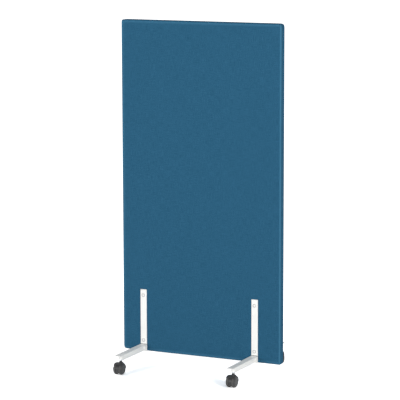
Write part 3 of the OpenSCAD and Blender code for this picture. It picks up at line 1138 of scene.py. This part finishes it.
def headed_pieces(name, profile, side, segments=96):
    """Turned pieces with a hexagon socket, one at each bolt's place, heads on one side."""
    shape = bmesh.new()
    # Marks the groove floor of each head for the painted shade there.
    mark = shape.verts.layers.float.new("painted_groove_shade")
    seat = side * (PANEL_HALF_T + UPRIGHT_T)
    spots = [(middle_x(c + "_upright"), z) for c in CORNERS[:2] for z in BOLT_HEIGHTS]
    for x, z in spots:
        rings = []
        for k in range(segments):
            t = 2 * math.pi * k / segments
            ring = []
            for along, out in socket_profile(t) + profile:
                place = (x + out * math.sin(t), seat + side * along, z + out * math.cos(t))
                vert = shape.verts.new(place)
                in_groove = GROOVE_IN <= out <= GROOVE_OUT
                vert[mark] = float(along == GROOVE_FLOOR and in_groove)
                ring.append(vert)
            rings.append(ring)
        for k in range(segments):
            one, two = rings[k], rings[(k + 1) % segments]
            for i in range(len(one) - 1):
                shape.faces.new((one[i], one[i + 1], two[i + 1], two[i]))
    merge_doubles(shape, 0.001 * MM)
    face_outwards(shape)
    return link(name, plain_mesh(name, shape))


for node, name, profile, side in (
    ("connector_bolts", "cupped_bolts", bolt_profile(), -1),
    ("sleeve_nuts", "cupped_nuts", nut_profile(), 1),
):
    heads = headed_pieces(name, profile, side)
    hand_over(heads, "root", BOLT_COAT, [node])

# ---- Casters ----

WHEEL_IN = 7.0 * MM
WHEEL_OUT = 21.5 * MM
SHOULDER_R = 10 * MM
LIP_R = 3 * MM
WALL = 3 * MM
HUB_R = 6.5 * MM
HUB_IN = 6.4 * MM
BORE_R = 3.05 * MM
CAP_IN = 19.5 * MM
CAP_R = 13 * MM
CAP_TOP = 22.1 * MM
CAP_WALL = 1.4 * MM
CAP_FIT = 0.2 * MM
CAP_PLAY = 0.1 * MM
CAP_EASE = 0.5 * MM
CAP_CHAMFER = (0.4 * MM, 0.3 * MM)
CAP_DOME = 1 * MM
RIVET_R = 4.7 * MM
RIB_COUNT = 6
RIB_T = 1.6 * MM
RIB_SINK = 0.3 * MM
WHEEL_EASE = 0.4 * MM
HOOD_EASE = 0.45 * MM
PARTING = 0.15 * MM

# Grooves round the wheel's shoulder: place and width in degrees, and depth.
SHOULDER_RINGS = ((34, 2.2, 0.4 * MM), (72, 2.4, 0.35 * MM))

# The cap's ring and dimple: radius, width of the ring or of the dimple's wall, and depth.
CAP_RING = (9.2 * MM, 0.55 * MM, 0.3 * MM)
CAP_DIMPLE = (2 * MM, 0.8 * MM, 0.35 * MM)
CAP_RIM_DROP = 0.35 * MM

# The scuffed tread of a wheel begins this far under its outside, and is full after the fade.
TREAD_DEPTH = 0.9 * MM
TREAD_FADE = 0.8 * MM


def wheel_profile():
    """Half section of a wheel as (along, out): hub, hollow, tread, ringed shoulder, cap seat."""
    shoulder_x, shoulder_out = WHEEL_OUT - SHOULDER_R, WHEEL_R - SHOULDER_R
    disc = CAP_IN - WALL
    hollow_r = SHOULDER_R - WALL
    rise = math.degrees(math.asin((disc - shoulder_x) / hollow_r))
    ease = WHEEL_EASE
    points = [(HUB_IN, BORE_R + ease), (HUB_IN, HUB_R - ease), (HUB_IN + ease, HUB_R)]
    points += [(disc - 2 * ease, HUB_R), (disc, HUB_R + 2 * ease)]
    points += arc((shoulder_x, shoulder_out), hollow_r, rise, 0, 8)
    lip = WHEEL_R - WALL
    points += [(WHEEL_IN + ease, lip), (WHEEL_IN, lip + ease)]
    points += arc((WHEEL_IN + LIP_R, WHEEL_R - LIP_R), LIP_R, -80, 0, 6)
    middle = (WHEEL_IN + LIP_R + shoulder_x) / 2
    points += [(middle - PARTING, WHEEL_R), (middle, WHEEL_R - PARTING)]
    points += [(middle + PARTING, WHEEL_R)]
    for degrees in np.arange(0, 90.1, 2.5):
        reach = SHOULDER_R - sum(
            depth * math.exp(-(((degrees - at) / wide) ** 2))
            for at, wide, depth in SHOULDER_RINGS
        )
        t = math.radians(degrees)
        points.append(
            (shoulder_x + reach * math.sin(t), shoulder_out + reach * math.cos(t))
        )
    points += [(WHEEL_OUT, CAP_R + ease), (WHEEL_OUT - ease, CAP_R), (CAP_IN, CAP_R)]
    points += [(CAP_IN, BORE_R), (HUB_IN + ease, BORE_R)]
    return points


def cap_profile():
    """Half section of a hub cap: hollow under it, eased rim, dome with a ring and a dimple."""
    rim = CAP_R - CAP_FIT
    seat, roof = CAP_IN + CAP_PLAY, CAP_IN + CAP_WALL
    chamfer_x, chamfer_out = CAP_CHAMFER
    dome = (CAP_R**2 + CAP_DOME**2) / (2 * CAP_DOME)
    ring_r, ring_wide, ring_deep = CAP_RING
    dimple_r, dimple_wall, dimple_deep = CAP_DIMPLE
    points = [(roof, 0), (roof, RIVET_R), (seat, RIVET_R)]
    points += [(seat, rim - chamfer_out), (CAP_IN + chamfer_x, rim)]
    for out in np.linspace(rim, 0, 40):
        along = CAP_TOP - out**2 / (2 * dome)
        along -= ring_deep * math.exp(-(((out - ring_r) / ring_wide) ** 2))
        along -= dimple_deep * (1 - smoothstep((out - dimple_r) / dimple_wall))
        along -= CAP_RIM_DROP * smoothstep((out - rim + CAP_EASE) / CAP_EASE)
        points.append((along, out))
    return points


def spun_piece(name, profile, place, mirrored, extra=None):
    """A turned profile put at a caster's axle, on its own side, with its tread marked."""
    shape = turned(profile)
    if extra is not None:
        shape.from_mesh(extra)
    mark = shape.verts.layers.float.new("tread")
    for vert in shape.verts:
        out = math.hypot(vert.co.y, vert.co.z)
        vert[mark] = smoothstep((out - WHEEL_R + TREAD_DEPTH) / TREAD_FADE)
    flip = Matrix.Diagonal((-1 if mirrored else 1, 1, 1, 1))
    at_axle = Matrix.Translation((0, -TRAIL, WHEEL_R))
    bmesh.ops.transform(shape, matrix=place @ at_axle @ flip, verts=shape.verts)
    face_outwards(shape)
    return link(name, plain_mesh(name, shape))


def wheel_ribs():
    """The ribs in a wheel's hollow, from its hub to under its tread."""
    seed = bpy.data.meshes.new("rib_seed")
    seed.from_pydata([(0, 0, 0)], [], [])
    inner, outer = HUB_R - RIB_SINK, WHEEL_R - WALL + RIB_SINK
    start, end = WHEEL_IN + LIP_R, CAP_IN - WALL + RIB_SINK
    sizes = {
        "Count": RIB_COUNT,
        "Size": (end - start, RIB_T, outer - inner),
        "Out": (inner + outer) / 2,
        "Along": (start + end) / 2,
        "Finish": WHEEL_PLASTIC,
    }
    made = grow("wheel_ribs", seed, RIBS, sizes)
    mesh = made.data
    bpy.data.objects.remove(made)
    return mesh


ribs = wheel_ribs()
for corner in CORNERS:
    place = caster_place(corner)
    node, name, body = f"{corner}_housing", f"housing_{corner}", f"{corner}_caster"
    eased(node, name, HOOD_EASE, body, HOOD_PLASTIC, segments=3)
    for hand in ("l", "r"):
        body = f"{corner}_roller_{hand}"
        left = hand == "l"
        wheel = spun_piece(f"wheel_{corner}_{hand}", wheel_profile(), place, left, ribs)
        node = f"{corner}_wheel_{hand}"
        hand_over(wheel, body, WHEEL_PLASTIC, [node])
        cap = spun_piece(f"cap_{corner}_{hand}", cap_profile(), place, left)
        hand_over(cap, body, HOOD_PLASTIC, [f"{corner}_cap_{hand}"])

# ---- Finishes of the nodes that stay as they are ----

NODE_FINISH = {
    "top_rail": PINE_ACROSS,
    "bottom_rail": PINE_ACROSS,
    "left_stile": PINE_UP,
    "right_stile": PINE_UP,
    "left_fixing_board": PINE_UP,
    "right_fixing_board": PINE_UP,
    "frame_screws": ZINC,
    "connector_bolts": BOLT_COAT,
    "sleeve_nuts": BOLT_COAT,
    "retaining_rings": ZINC,
    "fabric_cover": CLOTH,
    "foam_front": FOAM,
    "foam_rear": FOAM,
    "absorber_core": FELT,
}
ENDINGS = {
    "upright": WHITE_COAT,
    "foot": WHITE_COAT,
    "boss": WHITE_COAT,
    "stem": ZINC,
    "axle": ZINC,
    "housing": HOOD_PLASTIC,
    "wheel_l": WHEEL_PLASTIC,
    "wheel_r": WHEEL_PLASTIC,
    "cap_l": HOOD_PLASTIC,
    "cap_r": HOOD_PLASTIC,
}
for name, node in NODES.items():
    ending = "_".join(name.split("_")[2:])
    node.data.materials.clear()
    node.data.materials.append(NODE_FINISH.get(name) or ENDINGS[ending])

# ---- Floor, backdrop, light and camera ----

FLOOR_HALF = 30.0
FLOOR_TONE = 0.9
FLOOR_GLOW = 0.45
DOME = 0.42
SOFTBOXES = (
    ("right_softbox", (8.1, -5.7, 2.9), (1.4, 1.9), 490),
    ("front_softbox", (-2.4, -5.9, 1.5), (1.0, 1.4), 147),
)

CASTERS_AT = [caster_place(c).translation.x for c in CORNERS[:2]]
CASTERS_MIDDLE = sum(CASTERS_AT) / 2
CASTERS_HALF = (CASTERS_AT[1] - CASTERS_AT[0]) / 2

# Where the floor keeps shadows: by the distance to each side of the middle between the front
# casters, and from front to back, where the back edge runs at a slant. It fades in and out.
SHADOW_FULL = CASTERS_HALF - 0.03
SHADOW_OUTER = CASTERS_HALF + 0.02
SHADOW_INNER = CASTERS_HALF - 0.24
SHADOW_FRONT = (-0.6, -0.4)
SHADOW_BACK = (-0.12, -0.02)
SHADOW_SLANT = 0.25


def seen_directly(tree):
    """1 where a camera, mirror or clear ray meets the floor or the backdrop, for its white."""
    path = tree.add("ShaderNodeLightPath").outputs
    shiny = tree.math("MAXIMUM", path["Is Glossy Ray"], path["Is Transmission Ray"])
    return tree.math("MAXIMUM", path["Is Camera Ray"], shiny)


def pale_floor():
    """White floor. It keeps the front casters' shadows, which are short in the photograph."""
    mesh = bpy.data.meshes.new("floor")
    h = FLOOR_HALF
    mesh.from_pydata([(-h, -h, 0), (h, -h, 0), (h, h, 0), (-h, h, 0)], [], [(0, 1, 2, 3)])
    floor = link("floor", mesh)
    material = bpy.data.materials.new("pale_floor")
    material.use_nodes = True
    tree = Tree(material.node_tree)
    material.node_tree.nodes.remove(material.node_tree.nodes["Principled BSDF"])
    tone = (FLOOR_TONE, FLOOR_TONE, FLOOR_TONE, 1)
    plain = tree.out("ShaderNodeBsdfDiffuse", {"Color": tone})
    shadowed = tree.out("ShaderNodeBsdfDiffuse", {"Color": (1, 1, 1, 1)})
    deeper = tree.out("ShaderNodeAddShader", {0: shadowed, 1: shadowed})
    spot = tree.add("ShaderNodeSeparateXYZ", {0: object_place(tree)}).outputs
    aside = tree.math("ABSOLUTE", tree.math("SUBTRACT", spot[0], CASTERS_MIDDLE))
    outward = tree.ramp(aside, SHADOW_FULL, SHADOW_OUTER, 1.0, 0.0)
    inward = tree.ramp(aside, SHADOW_INNER, SHADOW_FULL)
    slant = tree.math("MULTIPLY_ADD", spot[0], SHADOW_SLANT, spot[1])
    behind = tree.ramp(slant, *SHADOW_BACK, 1.0, 0.0)
    before = tree.ramp(spot[1], *SHADOW_FRONT)
    across = tree.math("MULTIPLY", outward, inward)
    kept = tree.math("MULTIPLY", across, tree.math("MULTIPLY", behind, before))
    strength = tree.out("ShaderNodeMapRange", {0: kept, 3: FLOOR_GLOW, 4: 0.0})
    glow = tree.out("ShaderNodeEmission", {"Color": (1, 1, 1, 1), "Strength": strength})
    white = tree.out("ShaderNodeAddShader", {0: deeper, 1: glow})
    mixed = tree.out("ShaderNodeMixShader", {0: seen_directly(tree), 1: plain, 2: white})
    out = material.node_tree.nodes["Material Output"]
    tree.put(out.inputs["Surface"], mixed)
    floor.data.materials.append(material)


def white_backdrop():
    """A world that looks white and lights like a dimmer dome."""
    world = bpy.data.worlds.new("studio")
    bpy.context.scene.world = world
    world.use_nodes = True
    tree = Tree(world.node_tree)
    back = world.node_tree.nodes["Background"]
    back.inputs["Color"].default_value = (1, 1, 1, 1)
    strength = tree.out("ShaderNodeMapRange", {0: seen_directly(tree), 3: DOME, 4: 1.0})
    tree.put(back.inputs["Strength"], strength)


def softbox(name, spot, size, watts):
    """A rectangular lamp that faces the middle of the panel."""
    light = bpy.data.lights.new(name, "AREA")
    light.shape = "RECTANGLE"
    light.size, light.size_y = size
    light.energy = watts
    box = bpy.data.objects.new(name, light)
    bpy.context.scene.collection.objects.link(box)
    box.location = spot
    aim = Vector((0, 0, PANEL_MID_Z)) - Vector(spot)
    box.rotation_euler = aim.to_track_quat("-Z", "Y").to_euler()


CAMERA_SPOT = Vector((3.631, -7.6366, 2.065))
CAMERA_AZIMUTH = math.radians(25.4887)
CAMERA_DOWN = math.radians(8.9094)
CAMERA_ROLL = math.radians(-0.1216)
CAMERA_LENS = 179.517
CAMERA_SENSOR = 36
CAMERA_CLIP = (0.1, 200)


def photo_camera():
    """The photograph's viewpoint, fitted to the panel's corners, the plates and the casters."""
    a, down, roll = CAMERA_AZIMUTH, CAMERA_DOWN, CAMERA_ROLL
    back = Vector(
        (math.sin(a) * math.cos(down), -math.cos(a) * math.cos(down), math.sin(down))
    )
    right = Vector((math.cos(a), math.sin(a), 0))
    up = back.cross(right)
    right, up = (
        right * math.cos(roll) + up * math.sin(roll),
        up * math.cos(roll) - right * math.sin(roll),
    )
    data = bpy.data.cameras.new("photo_camera")
    data.lens = CAMERA_LENS
    data.sensor_width = CAMERA_SENSOR
    data.clip_start, data.clip_end = CAMERA_CLIP
    camera = bpy.data.objects.new("photo_camera", data)
    bpy.context.scene.collection.objects.link(camera)
    camera.matrix_world = Matrix.Translation(CAMERA_SPOT) @ Matrix(
        (right, up, back)
    ).transposed().to_4x4()
    bpy.context.scene.camera = camera


pale_floor()
white_backdrop()
for lamp in SOFTBOXES:
    softbox(*lamp)
photo_camera()
bpy.context.scene.view_settings.view_transform = "Standard"
